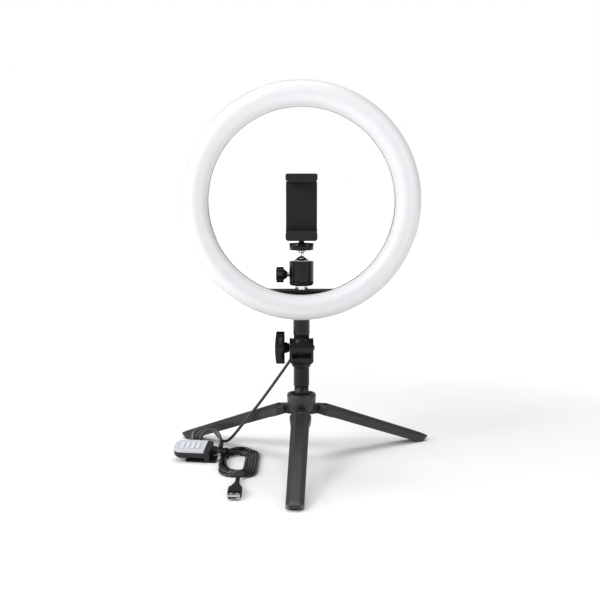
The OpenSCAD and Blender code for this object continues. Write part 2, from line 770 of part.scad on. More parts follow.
// Five-lobed knob on a cone
module lock_knob() {
    lobes = 5;
    inner_x = -ball_body_r - 2.2;
    face_x = inner_x - 12.6;
    color([0.05, 0.05, 0.05]) translate([0, 0, lock_z]) difference() {
        union() {
            x_rod(face_x, inner_x - 3.6, 6.4);
            for (k = [0 : lobes - 1]) rotate([360 * k / lobes + 18, 0, 0]) translate([0, 0, 6])
                x_rod(face_x + 0.4, inner_x - 4, 3.2);
            translate([inner_x - 4, 0, 0]) rotate([0, 90, 0]) cylinder(r1 = 6.4, r2 = 3.6, h = 4);
        }
        x_rod(-ball_body_r - 6, 0, lock_screw_r);
    }
}

module ball_stem() {
    color([0.86, 0.86, 0.88]) {
        translate([0, 0, ball_z]) sphere(r = ball_r);
        translate([0, 0, ball_rim_z]) rotate_extrude() polygon([
            [0, 2], [3.3, 2], [3.3, 8.6], [3.9, 10], [5.3, 11.3], [5.3, 12.1], [0, 12.1]]);
        translate([0, 0, ball_rim_z + 10]) cylinder(r = thread_r, h = holder_z + 7.6 - ball_rim_z - 10);
    }
}

module lock_wheel() {
    edge = 0.5;
    color([0.07, 0.07, 0.08]) translate([0, 0, wheel_z]) difference() {
        rotate_extrude() polygon([
            [0, 0], [wheel_d / 2 - edge, 0], [wheel_d / 2, edge], [wheel_d / 2, wheel_h - edge],
            [wheel_d / 2 - edge, wheel_h], [5, wheel_h], [4.6, wheel_h + 0.5], [0, wheel_h + 0.5]]);
        translate([0, 0, -cut]) cylinder(r = thread_r + running_gap, h = wheel_h + 3 * cut);
    }
}

// ---------------------------------------------------------------- phone holder

// A block that spans the holder's width, between two y values, with rounded edges along Y
module holder_block(z0, z1, y0, y1, r, w) {
    translate([0, y1, (z0 + z1) / 2]) rotate([90, 0, 0]) linear_extrude(y1 - y0)
        offset(r = r, $fn = 32) square([w - 2 * r, z1 - z0 - 2 * r], center = true);
}

module holder_body() {
    top_z = jaw_z - sliding_gap;
    color([0.06, 0.06, 0.06]) difference() {
        union() {
            holder_block(holder_z, plate_z, -jaw_reach, cover_y, 3, holder_w);
            translate([-holder_w / 2 + 0.3, plate_front_y, plate_z - 4])
                cube([holder_w - 0.6, cover_y - plate_front_y, top_z - plate_z + 4]);
            translate([-holder_w / 2 + 2, -jaw_reach, plate_z - cut]) cube([holder_w - 4, 2.4, lip + cut]);
        }
        translate([-slider_half - lug_reach - sliding_gap, channel_y, plate_z - 0.6])
            cube([2 * (slider_half + lug_reach + sliding_gap), channel_d + cut, narrow_z - plate_z + 0.6]);
        translate([-slider_half - sliding_gap, channel_y, narrow_z - cut])
            cube([2 * (slider_half + sliding_gap), channel_d + cut, top_z - narrow_z + 2 * cut]);
        holder_insert_outside();
        holder_screw_shape();
    }
}

module holder_insert_outside() {
    translate([0, 0, holder_z - 0.01]) cylinder(r = 5, h = 8.4);
}

module holder_insert() {
    color([0.78, 0.62, 0.3]) difference() {
        holder_insert_outside();
        translate([0, 0, holder_z - cut]) cylinder(r = thread_r + running_gap, h = 12);
    }
}

// Four countersunk screws close the holder's back: two below the channel, two in the lower jaw's depth
module holder_screw_shape() {
    for (x = [-12.5, 12.5]) for (z = [holder_z + 3.2, holder_z + 6.9]) translate([x, 0, z]) {
        y_rod(cover_y - 6, holder_back_y, 0.9);
        y_rod(holder_back_y - 0.8, holder_back_y, 1.6);
    }
}

module holder_cover() {
    color([0.07, 0.07, 0.07]) difference() {
        union() {
            holder_block(holder_z, plate_z + 6, cover_y, holder_back_y, 3, holder_w);
            translate([-holder_w / 2 + 0.3, cover_y, plate_z])
                cube([holder_w - 0.6, holder_cover_t, jaw_z - sliding_gap - plate_z]);
        }
        holder_screw_shape();
    }
}

module holder_screws() {
    color([0.4, 0.4, 0.42]) holder_screw_shape();
}

module holder_pads() {
    color([0.03, 0.03, 0.03]) {
        translate([-holder_w / 2 + 2.3, plate_front_y - pad_t, plate_z + 1.6])
            cube([holder_w - 4.6, pad_t, jaw_gap - 3.6]);
        translate([-holder_w / 2 + 2.3, -jaw_reach + 2.8, plate_z]) cube([holder_w - 4.6, 9.4, 1.2]);
    }
}

// Two tension springs pull the sliding jaw down
module jaw_springs() {
    steps = 10;
    z0 = plate_z - 0.6;
    length = slider_z - z0;
    coil = [for (k = [0 : spring_turns * steps])
        let (a = 360 * k / steps)
        [spring_r * cos(a), spring_r * sin(a), 0.6 + (length - 1.2) * k / (spring_turns * steps)]];
    color([0.7, 0.7, 0.72]) for (x = [-spring_x, spring_x])
        translate([x, channel_y + channel_d / 2, z0]) {
            tube(coil, spring_wire, 5, [0, 0, 1]);
            cylinder(r = spring_r + spring_wire, h = 0.5);
            translate([0, 0, length - 0.5]) cylinder(r = spring_r + spring_wire, h = 0.5);
        }
}

module sliding_jaw() {
    slide_y0 = channel_y + sliding_gap;
    slide_t = channel_d - 2 * sliding_gap;
    color([0.06, 0.06, 0.06]) {
        holder_block(jaw_z, jaw_top_z, -jaw_reach, holder_back_y, 2, holder_w);
        translate([-slider_half, slide_y0, slider_z]) cube([2 * slider_half, slide_t, slider_l + cut]);
        translate([-slider_half - lug_reach, slide_y0, slider_z]) cube([2 * (slider_half + lug_reach), slide_t, 3]);
        translate([-holder_w / 2 + 2, -jaw_reach, jaw_z - lip]) cube([holder_w - 4, 2.4, lip + cut]);
    }
}

module jaw_pad() {
    color([0.03, 0.03, 0.03]) translate([-holder_w / 2 + 2.3, -jaw_reach + 2.8, jaw_z - 1.2])
        cube([holder_w - 4.6, 9.4, 1.2]);
}

// ---------------------------------------------------------------- remote

// Plan of the remote: a round far end and a squarer cord end
module remote_plan(inset) {
    far_r = 9;
    near_r = 3;
    offset(delta = -inset) hull() {
        for (s = [-1, 1]) {
            translate([-remote_l / 2 + far_r, s * (remote_w / 2 - far_r)]) circle(r = far_r, $fn = 32);
            translate([remote_l / 2 - near_r, s * (remote_w / 2 - near_r)]) circle(r = near_r, $fn = 32);
        }
    }
}

module remote_base() {
    wall = 1.6;
    lid_z = remote_h - remote_lid_h;
    color([0.14, 0.14, 0.15]) remote_frame() difference() {
        union() {
            hull() {
                linear_extrude(0.1) remote_plan(2.4);
                translate([0, 0, 3]) linear_extrude(lid_z - 3) remote_plan(0);
            }
            intersection() {
                linear_extrude(remote_h - 0.5) remote_plan(0);
                translate([remote_lid_end, -remote_w, 0]) cube([remote_l, 2 * remote_w, remote_h]);
            }
        }
        translate([0, 0, remote_floor]) linear_extrude(lid_z) intersection() {
            remote_plan(wall);
            translate([-remote_l, -remote_w]) square([remote_l + remote_lid_end - wall, 2 * remote_w]);
        }
        translate([remote_lid_end - 4, -3.6, boot_z - 2]) cube([remote_l, 7.2, 4]);
    }
    color([0.14, 0.14, 0.15]) remote_frame() for (x = [-14, 9]) for (y = [-6, 6])
        translate([x, y, remote_floor - 0.2]) cylinder(r = 1.5, h = board_z - remote_floor + 0.2);
}

module remote_top() {
    lid_z = remote_h - remote_lid_h;
    color([0.82, 0.82, 0.84]) remote_frame() difference() {
        translate([0, 0, lid_z]) linear_extrude(remote_lid_h) intersection() {
            remote_plan(0.3);
            translate([-remote_l, -remote_w]) square([remote_l + remote_lid_end - 0.1, 2 * remote_w]);
        }
        translate([0, 0, lid_z - cut]) linear_extrude(remote_lid_h + cut - 1.2) intersection() {
            remote_plan(2.2);
            translate([-remote_l, -remote_w]) square([remote_l + remote_lid_end - 2, 2 * remote_w]);
        }
        for (k = [0 : 3]) translate([button_x(k), 0, lid_z - cut])
            rounded_plate([button_w + 2 * sliding_gap, button_l + 2 * sliding_gap, 2 * remote_lid_h], 1);
    }
}

function button_x(k) = -12 + k * button_pitch;

// A cap that passes through the lid, with a wider skirt that keeps it in
module button(k) {
    lid_z = remote_h - remote_lid_h;
    skirt_z = remote_h - 1.2 - sliding_gap - 0.7;
    color([0.86, 0.88, 0.92]) remote_frame() translate([button_x(k), 0, 0]) {
        translate([0, 0, skirt_z]) rounded_plate([button_w, button_l, remote_h + button_proud - skirt_z], 0.8);
        translate([0, 0, skirt_z]) rounded_plate([button_w + 0.8, button_l + 2, 0.7], 0.8);
    }
}

module button_power() button(0);
module button_colour() button(1);
module button_brighter() button(2);
module button_dimmer() button(3);

module remote_board() {
    color([0.1, 0.3, 0.15]) remote_frame() translate([0, 0, board_z]) {
        translate([-16, -8, 0]) cube([27, 16, 1.2]);
        for (k = [0 : 3]) translate([button_x(k), 0, 1.1]) cylinder(r = 1.6, h = 2.4);
    }
}

// A spring clip: an arm under the housing, joined to it at the cord end
module remote_clip() {
    arm_x = -7;
    arm_end = remote_l / 2 + 6;
    riser_x = remote_l / 2 - 6;
    color([0.12, 0.12, 0.13]) remote_frame() difference() {
        union() {
            translate([arm_x, -12, -clip_gap - clip_t]) cube([arm_end - arm_x, 14, clip_t]);
            translate([riser_x, -12, -clip_gap - clip_t]) cube([5, 14, clip_gap + clip_t + 2.6]);
        }
        linear_extrude(remote_h) remote_plan(0);
        hull() {
            linear_extrude(0.1) remote_plan(2.4);
            translate([0, 0, 3]) linear_extrude(2) remote_plan(0);
        }
    }
}

// Round, ribbed strain relief at the cord end, with a hole for each cord
module remote_boot() {
    x0 = remote_l / 2;
    color([0.04, 0.04, 0.04]) remote_frame() difference() {
        union() {
            translate([x0, 0, boot_z]) rotate([0, 90, 0]) cylinder(r1 = 5, r2 = 4.4, h = 5.6);
            for (x = [0.9, 2.9, 4.7]) translate([0, 0, boot_z]) x_rod(x0 + x, x0 + x + 1, 5.5 - 0.14 * x);
            translate([x0 - 6, -3.4, boot_z - 1.8]) cube([6 + cut, 6.8, 3.6]);
        }
        for (y = [-2, 2]) translate([0, y, boot_z]) x_rod(x0 - 7, x0 + 9, cord_r);
    }
}

// ---------------------------------------------------------------- cord and plug

module lamp_cord() {
    last = len(lamp_route) - 1;
    route = [for (p = lamp_route) [p[0], p[1], p[2] < 20 ? p[2] : 20 + (p[2] - 20) * cord_lift]];
    points = [for (k = [0 : lamp_steps]) spline_at(route, last * k / lamp_steps)];
    color([0.04, 0.04, 0.04]) tube(points, cord_r, 8, [0, 1, 0]);
}

// A squarish oval, given by its half sizes
function oval(a, b, power, n) = [for (k = [0 : n - 1])
    let (c = cos(360 * k / n), s = sin(360 * k / n))
    [a * sign(c) * pow(abs(c), power), b * sign(s) * pow(abs(s), power)]];

// A wound hank: an oval band of even height
module hank(a, b, band, h) {
    difference() {
        linear_extrude(h) polygon(oval(a, b, 0.85, 40));
        translate([0, 0, -cut]) linear_extrude(h + 2 * cut) polygon(oval(a - band, b - band, 0.9, 40));
    }
}

module right_hank() {
    size = tie_size;
    color([0.04, 0.04, 0.04]) difference() {
        translate([-70.5, -29.5, 0]) hank(21.7, 52, 10.4, 7.6);
        translate(tie_at) difference() {
            cube([size[0] + 8, size[1] + 0.6, size[2] + 2], center = true);
            cube([size[0] - 2 * tie_wall - 0.4, size[1] + 2, size[2] - 2 * tie_wall - 0.4], center = true);
        }
    }
}

module left_hank() {
    color([0.05, 0.05, 0.05]) translate([-113, 40, 8]) rotate([0, 0, -40]) rotate([24, 0, 0])
        translate([0, 0, -2]) hank(27, 13, 6, 5);
}

// A strap round the bundle, rounded at its corners
module cable_tie() {
    color([0.03, 0.03, 0.03]) translate(tie_at) rotate([90, 0, 0]) linear_extrude(tie_size[1], center = true)
        difference() {
            plug_section(tie_size[0], tie_size[2]);
            square([tie_size[0] - 2 * tie_wall, tie_size[2] - 2 * tie_wall], center = true);
        }
}

plug_x = -67.4;
plug_mid_z = 4;

module plug_body() {
    color([0.05, 0.05, 0.05]) translate([plug_x, 0, plug_mid_z]) difference() {
        union() {
            y_rod(-100, -82, cord_r + 0.6);
            hull() {
                y_rod(-100.1, -100, cord_r + 0.6);
                translate([0, -120, 0]) rotate([90, 0, 0]) linear_extrude(0.1) plug_section(12.8, 7);
            }
            translate([0, -120, 0]) rotate([90, 0, 0]) linear_extrude(14.5) plug_section(14, 7.8);
        }
        translate([-6, -134.5 - cut, -2.2]) cube([12, 9 + cut, 4.4]);
    }
}

module plug_section(w, h) {
    offset(r = 1.6, $fn = 24) square([w - 3.2, h - 3.2], center = true);
}

module plug_shell() {
    metal = 0.4;
    color([0.75, 0.72, 0.7]) translate([plug_x, 0, plug_mid_z]) difference() {
        translate([-6, -143, -2.2]) cube([12, 17.5, 4.4]);
        translate([-6 + metal, -143 - cut, -2.2 + metal]) cube([12 - 2 * metal, 17.5 + cut - 1, 4.4 - 2 * metal]);
        for (x = [-3.2, 3.2]) translate([x - 1.2, -139.5, 0]) cube([2.4, 2.4, 4]);
    }
}

module plug_insert() {
    color([0.9, 0.9, 0.9]) translate([plug_x, 0, plug_mid_z]) translate([-5.6, -142, -0.1]) cube([11.2, 15.5, 1.9]);
}

// ---------------------------------------------------------------- what is shown

hub_body();
hub_pad();
tripod_stud();
leg_pins();
post_foot();
lower_tube();
clevis();
tilt_nut();
leg_front();
leg_right();
leg_left();
foot_front();
foot_right();
foot_left();
tilt_knob();
tilt_bolt();
tilt_tongue();
upper_tube();
bridge_body();
bridge_cover();
cover_screws();
rear_shell();
diffuser();
led_board();
led_chips();
shell_screws();
cable_gland();
bridge_stud();
stud_nut();
ball_head_body();
ball_head_base();
ball_cup();
lock_knob();
lock_screw();
ball_stem();
lock_wheel();
holder_body();
holder_cover();
holder_screws();
holder_insert();
holder_pads();
jaw_springs();
sliding_jaw();
jaw_pad();
remote_base();
remote_top();
remote_clip();
remote_board();
remote_boot();
button_power();
button_colour();
button_brighter();
button_dimmer();
lamp_cord();
left_hank();
right_hank();
cable_tie();
plug_body();
plug_shell();
plug_insert();
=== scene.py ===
import bpy
import bmesh
import json
from math import sin, cos, pi, radians
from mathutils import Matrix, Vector

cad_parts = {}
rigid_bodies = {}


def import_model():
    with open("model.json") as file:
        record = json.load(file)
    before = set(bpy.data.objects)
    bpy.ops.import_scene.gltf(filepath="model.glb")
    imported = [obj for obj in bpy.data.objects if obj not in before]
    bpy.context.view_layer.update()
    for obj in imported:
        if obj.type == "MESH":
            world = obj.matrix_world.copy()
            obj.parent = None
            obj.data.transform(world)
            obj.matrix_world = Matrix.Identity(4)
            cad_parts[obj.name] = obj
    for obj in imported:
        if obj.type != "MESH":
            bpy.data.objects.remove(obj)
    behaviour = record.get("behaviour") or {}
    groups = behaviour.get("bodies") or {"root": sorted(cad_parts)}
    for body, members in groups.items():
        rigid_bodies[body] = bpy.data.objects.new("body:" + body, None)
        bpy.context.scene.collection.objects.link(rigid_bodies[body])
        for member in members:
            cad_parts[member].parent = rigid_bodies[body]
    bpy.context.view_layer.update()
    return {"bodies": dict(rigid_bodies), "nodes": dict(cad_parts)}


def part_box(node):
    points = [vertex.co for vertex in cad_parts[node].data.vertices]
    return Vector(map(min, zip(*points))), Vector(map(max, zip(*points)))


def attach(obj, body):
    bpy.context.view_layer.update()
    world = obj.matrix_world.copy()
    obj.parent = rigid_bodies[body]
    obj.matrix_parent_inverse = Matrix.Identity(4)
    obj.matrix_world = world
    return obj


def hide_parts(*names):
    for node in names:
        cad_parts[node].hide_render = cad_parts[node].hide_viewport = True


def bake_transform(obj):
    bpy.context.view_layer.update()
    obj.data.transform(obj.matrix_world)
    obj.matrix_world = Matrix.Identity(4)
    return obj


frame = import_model()
scene = bpy.context.scene
print("frame loaded")

# where the main pieces stand, from the model itself
ringLow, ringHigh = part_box("diffuser")
ringMiddle = Vector(((ringLow.x + ringHigh.x) / 2, ringHigh.y, (ringLow.z + ringHigh.z) / 2))
ringRadius = (ringHigh.z - ringLow.z) / 2

# camera
cameraPlace = {"at": (-0.0017, -0.960, 0.2934), "pitch": 83.515, "lens": 51.17}
cameraData = bpy.data.cameras.new("camera")
cameraData.lens = cameraPlace["lens"]
cameraData.sensor_width = 36
cameraData.clip_start = 0.01
cameraObject = bpy.data.objects.new("camera", cameraData)
cameraObject.location = cameraPlace["at"]
cameraObject.rotation_euler = (radians(cameraPlace["pitch"]), 0, 0)
scene.collection.objects.link(cameraObject)
scene.camera = cameraObject
print("camera set")


# ---- materials

def newGroup(name, inputs, outputs):
    group = bpy.data.node_groups.new(name, "ShaderNodeTree")
    for socketName, value in inputs:
        socket = group.interface.new_socket(socketName, in_out="INPUT", socket_type="NodeSocketFloat")
        socket.default_value = value
    for socketName, kind in outputs:
        group.interface.new_socket(socketName, in_out="OUTPUT", socket_type=kind)
    start = group.nodes.new("NodeGroupInput")
    end = group.nodes.new("NodeGroupOutput")
    return group, start, end


def grainGroup():
    # moulded grain, broad tone drift and handling marks, all on object coordinates
    group, start, end = newGroup(
        "surfaceGrain",
        [("Grain Scale", 900), ("Tone Scale", 18), ("Smudge Scale", 60)],
        [("Height", "NodeSocketFloat"), ("Tone", "NodeSocketFloat"), ("Smudge", "NodeSocketFloat")])
    make, join = group.nodes.new, group.links.new
    place = make("ShaderNodeTexCoord")
    grain = make("ShaderNodeTexNoise")
    grain.inputs["Detail"].default_value = 3
    tone = make("ShaderNodeTexNoise")
    tone.inputs["Detail"].default_value = 4
    smudge = make("ShaderNodeTexNoise")
    smudge.inputs["Detail"].default_value = 6
    smudge.inputs["Roughness"].default_value = 0.65
    for node, socketName in ((grain, "Grain Scale"), (tone, "Tone Scale"), (smudge, "Smudge Scale")):
        join(place.outputs["Object"], node.inputs["Vector"])
        join(start.outputs[socketName], node.inputs["Scale"])
    spread = make("ShaderNodeMapRange")
    spread.inputs["From Min"].default_value = 0.42
    spread.inputs["From Max"].default_value = 0.68
    join(smudge.outputs["Fac"], spread.inputs["Value"])
    join(grain.outputs["Fac"], end.inputs["Height"])
    join(tone.outputs["Fac"], end.inputs["Tone"])
    join(spread.outputs["Result"], end.inputs["Smudge"])
    return group


surfaceGrain = grainGroup()

finishes = {
    "satinCharcoal": {"dark": (0.022, 0.021, 0.021), "light": (0.04, 0.039, 0.038),
                      "rough": (0.30, 0.42), "grain": 1500, "bump": 0.06},
    "mattBlack": {"dark": (0.005, 0.005, 0.005), "light": (0.011, 0.011, 0.011),
                  "rough": (0.46, 0.58), "grain": 1700, "bump": 0.10, "specular": 0.28},
    "shellBlack": {"dark": (0.004, 0.004, 0.004), "light": (0.009, 0.009, 0.009),
                   "rough": (0.36, 0.50), "grain": 1800, "bump": 0.10, "specular": 0.28},
    "glossBlack": {"dark": (0.003, 0.003, 0.003), "light": (0.006, 0.006, 0.006),
                   "rough": (0.12, 0.22), "grain": 700, "bump": 0.010, "specular": 0.22},
    "satinBlack": {"dark": (0.006, 0.006, 0.006), "light": (0.013, 0.013, 0.013),
                   "rough": (0.26, 0.38), "grain": 1200, "bump": 0.05, "specular": 0.28},
    "knobBlack": {"dark": (0.005, 0.005, 0.005), "light": (0.011, 0.011, 0.011),
                  "rough": (0.28, 0.40), "grain": 1400, "bump": 0.06, "specular": 0.28},
    "rubberBlack": {"dark": (0.005, 0.005, 0.005), "light": (0.01, 0.01, 0.01),
                    "rough": (0.62, 0.78), "grain": 1100, "bump": 0.14, "specular": 0.28},
    "cordJacket": {"dark": (0.003, 0.003, 0.003), "light": (0.007, 0.007, 0.007),
                   "rough": (0.22, 0.34), "grain": 900, "bump": 0.04, "coat": 0.4},
    "turnedSteel": {"dark": (0.42, 0.42, 0.43), "light": (0.58, 0.58, 0.59),
                    "rough": (0.22, 0.36), "grain": 800, "bump": 0.03, "metal": 1},
    "darkSteel": {"dark": (0.10, 0.10, 0.105), "light": (0.16, 0.16, 0.165),
                  "rough": (0.28, 0.42), "grain": 800, "bump": 0.03, "metal": 1},
    "brightZinc": {"dark": (0.62, 0.60, 0.60), "light": (0.74, 0.72, 0.72),
                   "rough": (0.18, 0.30), "grain": 700, "bump": 0.02, "metal": 1},
    "polishedChrome": {"dark": (0.72, 0.72, 0.74), "light": (0.82, 0.82, 0.84),
                       "rough": (0.05, 0.12), "grain": 500, "bump": 0.004, "metal": 1},
    "turnedBrass": {"dark": (0.52, 0.38, 0.16), "light": (0.66, 0.50, 0.24),
                    "rough": (0.22, 0.34), "grain": 700, "bump": 0.02, "metal": 1},
    "naturalNylon": {"dark": (0.62, 0.61, 0.56), "light": (0.70, 0.69, 0.65),
                     "rough": (0.40, 0.52), "grain": 900, "bump": 0.03},
    "whiteMask": {"dark": (0.70, 0.70, 0.67), "light": (0.78, 0.78, 0.76),
                  "rough": (0.32, 0.42), "grain": 1200, "bump": 0.03},
    "greenMask": {"dark": (0.02, 0.12, 0.05), "light": (0.04, 0.18, 0.08),
                  "rough": (0.28, 0.38), "grain": 1200, "bump": 0.03},
    "phosphor": {"dark": (0.72, 0.62, 0.22), "light": (0.82, 0.72, 0.34),
                 "rough": (0.30, 0.40), "grain": 900, "bump": 0.02},
    "silverPaint": {"dark": (0.50, 0.51, 0.54), "light": (0.60, 0.61, 0.64),
                    "rough": (0.26, 0.38), "grain": 2400, "bump": 0.04, "coat": 0.3},
    "palePlastic": {"dark": (0.58, 0.62, 0.70), "light": (0.68, 0.71, 0.78),
                    "rough": (0.24, 0.34), "grain": 1600, "bump": 0.03},
    "remoteGrey": {"dark": (0.012, 0.012, 0.013), "light": (0.022, 0.022, 0.024),
                   "rough": (0.34, 0.46), "grain": 1600, "bump": 0.07, "specular": 0.28},
    "platedShell": {"dark": (0.46, 0.43, 0.41), "light": (0.60, 0.57, 0.55),
                    "rough": (0.20, 0.34), "grain": 700, "bump": 0.02, "metal": 1},
    "whiteInsulator": {"dark": (0.66, 0.66, 0.66), "light": (0.74, 0.74, 0.74),
                       "rough": (0.36, 0.46), "grain": 1200, "bump": 0.02},
}


def makeFinish(name, look):
    material = bpy.data.materials.new(name)
    material.use_nodes = True
    tree = material.node_tree
    shader = tree.nodes["Principled BSDF"]
    shader.inputs["Metallic"].default_value = look.get("metal", 0)
    shader.inputs["Coat Weight"].default_value = look.get("coat", 0)
    shader.inputs["Coat Roughness"].default_value = 0.08
    usual = 0.38 if look["light"][0] < 0.1 else 0.5
    shader.inputs["Specular IOR Level"].default_value = look.get("specular", usual)
    grain = tree.nodes.new("ShaderNodeGroup")
    grain.node_tree = surfaceGrain
    grain.inputs["Grain Scale"].default_value = look["grain"]
    grain.inputs["Tone Scale"].default_value = 22
    grain.inputs["Smudge Scale"].default_value = 70
    tint = tree.nodes.new("ShaderNodeMix")
    tint.data_type = "RGBA"
    tint.inputs[6].default_value = (*look["dark"], 1)
    tint.inputs[7].default_value = (*look["light"], 1)
    gloss = tree.nodes.new("ShaderNodeMapRange")
    gloss.inputs["To Min"].default_value = look["rough"][0]
    gloss.inputs["To Max"].default_value = look["rough"][1]
    bump = tree.nodes.new("ShaderNodeBump")
    bump.inputs["Strength"].default_value = look["bump"]
    bump.inputs["Distance"].default_value = 0.0006
    link = tree.links.new
    link(grain.outputs["Tone"], tint.inputs[0])
    link(tint.outputs[2], shader.inputs["Base Color"])
    link(grain.outputs["Smudge"], gloss.inputs["Value"])
    link(gloss.outputs["Result"], shader.inputs["Roughness"])
    link(grain.outputs["Height"], bump.inputs["Height"])
    link(bump.outputs["Normal"], shader.inputs["Normal"])
    return material


finish = {name: makeFinish(name, look) for name, look in finishes.items()}


def makeOpal():
    # milky front: faint rings round the lamp's axis that are painted light (painted shade at the ring's
    # inner and outer edges and along its middle, two painted highlight bands between them) and a soft
    # random drift of tone
    look = {"dark": (0.46, 0.45, 0.465, 1), "light": (0.74, 0.73, 0.755, 1)}
    material = bpy.data.materials.new("opalFront")
    material.use_nodes = True
    tree = material.node_tree
    make, link = tree.nodes.new, tree.links.new
    shader = tree.nodes["Principled BSDF"]
    shader.inputs["Subsurface Weight"].default_value = 0.25
    shader.inputs["Subsurface Radius"].default_value = (0.004, 0.004, 0.004)
    shader.inputs["Subsurface Scale"].default_value = 1
    place = make("ShaderNodeTexCoord")
    centre = make("ShaderNodeMapping")
    centre.inputs["Location"].default_value = (0, 0, -ringMiddle.z)
    flat = make("ShaderNodeVectorMath")
    flat.operation = "MULTIPLY"
    flat.inputs[1].default_value = (1, 0, 1)
    radius = make("ShaderNodeVectorMath")
    radius.operation = "LENGTH"
    across = make("ShaderNodeMapRange")
    across.inputs["From Min"].default_value = ringRadius - 0.030
    across.inputs["From Max"].default_value = ringRadius
    paintedShadeRamp = make("ShaderNodeValToRGB")
    # painted shade and painted highlights across the ring's width: darkest at the inner and outer edges,
    # a shallow painted shade at the middle, brightest at 0.30 and 0.70
    shadeHighlightStops = [(0.0, 0.35), (0.10, 0.75), (0.30, 1.0), (0.50, 0.82), (0.70, 1.0), (0.90, 0.70),
             (1.0, 0.30)]
    while len(paintedShadeRamp.color_ramp.elements) < len(shadeHighlightStops):
        paintedShadeRamp.color_ramp.elements.new(0.5)
    for element, (where, level) in zip(paintedShadeRamp.color_ramp.elements, shadeHighlightStops):
        element.position = where
        element.color = (level, level, level, 1)
    grain = make("ShaderNodeGroup")
    grain.node_tree = surfaceGrain
    grain.inputs["Grain Scale"].default_value = 1400
    grain.inputs["Tone Scale"].default_value = 7
    grain.inputs["Smudge Scale"].default_value = 30
    # the painted shade and highlights multiplied by the random tone drift
    shadeTimesTone = make("ShaderNodeMath")
    shadeTimesTone.operation = "MULTIPLY"
    tint = make("ShaderNodeMix")
    tint.data_type = "RGBA"
    tint.inputs[6].default_value = look["dark"]
    tint.inputs[7].default_value = look["light"]
    gloss = make("ShaderNodeMapRange")
    gloss.inputs["To Min"].default_value = 0.34
    gloss.inputs["To Max"].default_value = 0.46
    bump = make("ShaderNodeBump")
    bump.inputs["Strength"].default_value = 0.04
    bump.inputs["Distance"].default_value = 0.0005
    toneUp = make("ShaderNodeMapRange")
    toneUp.inputs["To Min"].default_value = 0.86
    toneUp.inputs["To Max"].default_value = 1.1
    link(place.outputs["Object"], centre.inputs["Vector"])
    link(centre.outputs["Vector"], flat.inputs[0])
    link(flat.outputs["Vector"], radius.inputs[0])
    link(radius.outputs["Value"], across.inputs["Value"])
    link(across.outputs["Result"], paintedShadeRamp.inputs["Fac"])
    link(grain.outputs["Tone"], toneUp.inputs["Value"])
    link(paintedShadeRamp.outputs["Color"], shadeTimesTone.inputs[0])
    link(toneUp.outputs["Result"], shadeTimesTone.inputs[1])
    link(shadeTimesTone.outputs["Value"], tint.inputs[0])
    link(tint.outputs[2], shader.inputs["Base Color"])
    link(grain.outputs["Smudge"], gloss.inputs["Value"])
    link(gloss.outputs["Result"], shader.inputs["Roughness"])
    link(grain.outputs["Height"], bump.inputs["Height"])
    link(bump.outputs["Normal"], shader.inputs["Normal"])
    return material


def makePadRubber():
    # rubber with small raised squares set at an angle, over the usual grain
    material = makeFinish("padRubber", finishes["rubberBlack"])
    tree = material.node_tree
    make, link = tree.nodes.new, tree.links.new
    place = make("ShaderNodeTexCoord")
    turn = make("ShaderNodeMapping")
    turn.inputs["Rotation"].default_value = (0, radians(45), 0)
    turn.inputs["Scale"].default_value = (520, 0, 520)
    check = make("ShaderNodeTexVoronoi")
    check.distance = "CHEBYCHEV"
    check.inputs["Scale"].default_value = 1
    check.inputs["Randomness"].default_value = 0
    bump = make("ShaderNodeBump")
    bump.inputs["Strength"].default_value = 0.7
    bump.inputs["Distance"].default_value = 0.0004
    bump.invert = True
    link(place.outputs["Object"], turn.inputs["Vector"])
    link(turn.outputs["Vector"], check.inputs["Vector"])
    link(check.outputs["Distance"], bump.inputs["Height"])
    link(tree.nodes["Bump"].outputs["Normal"], bump.inputs["Normal"])
    link(bump.outputs["Normal"], tree.nodes["Principled BSDF"].inputs["Normal"])
    return material


finish["opalFront"] = makeOpal()
finish["padRubber"] = makePadRubber()
print("materials made")

# which finish every carried-over node wears
nodeFinish = {
    "satinCharcoal": ["hub_body", "leg_front", "leg_right", "leg_left"],
    "mattBlack": ["holder_body", "holder_cover", "sliding_jaw", "bridge_body", "bridge_cover"],
    "shellBlack": ["rear_shell"],
    "glossBlack": ["upper_tube", "lower_tube", "ball_head_body", "ball_head_base", "lock_wheel"],
    "satinBlack": ["clevis", "tilt_tongue", "post_foot"],
    "knobBlack": ["tilt_knob", "lock_knob"],
    "rubberBlack": ["foot_front", "foot_right", "foot_left", "hub_pad", "jaw_pad", "cable_gland",
                    "remote_boot", "plug_body", "cable_tie"],
    "padRubber": ["holder_pads"],
    "cordJacket": ["lamp_cord", "left_hank", "right_hank"],
    "turnedSteel": ["tripod_stud", "leg_pins", "bridge_stud", "lock_screw", "jaw_springs"],
    "darkSteel": ["tilt_bolt", "tilt_nut", "cover_screws", "shell_screws", "holder_screws"],
    "brightZinc": ["stud_nut"],
    "polishedChrome": ["ball_stem"],
    "turnedBrass": ["holder_insert"],
    "naturalNylon": ["ball_cup"],
    "opalFront": ["diffuser"],
    "whiteMask": ["led_board"],
    "phosphor": ["led_chips"],
    "silverPaint": ["remote_top"],
    "palePlastic": ["button_power", "button_colour", "button_brighter", "button_dimmer"],
    "remoteGrey": ["remote_base", "remote_clip"],
    "greenMask": ["remote_board"],
    "platedShell": ["plug_shell"],
    "whiteInsulator": ["plug_insert"],
}
finishOf = {node: name for name, nodes in nodeFinish.items() for node in nodes}


def wear(thing, name):
    thing.data.materials.clear()
    thing.data.materials.append(finish[name])


for node, name in finishOf.items():
    wear(frame["nodes"][node], name)
bodyOf = {child.name: body for body, empty in frame["bodies"].items() for child in empty.children}
print("finishes on", len(finishOf), "nodes")


# ---- pieces with rounded edges and smooth round walls


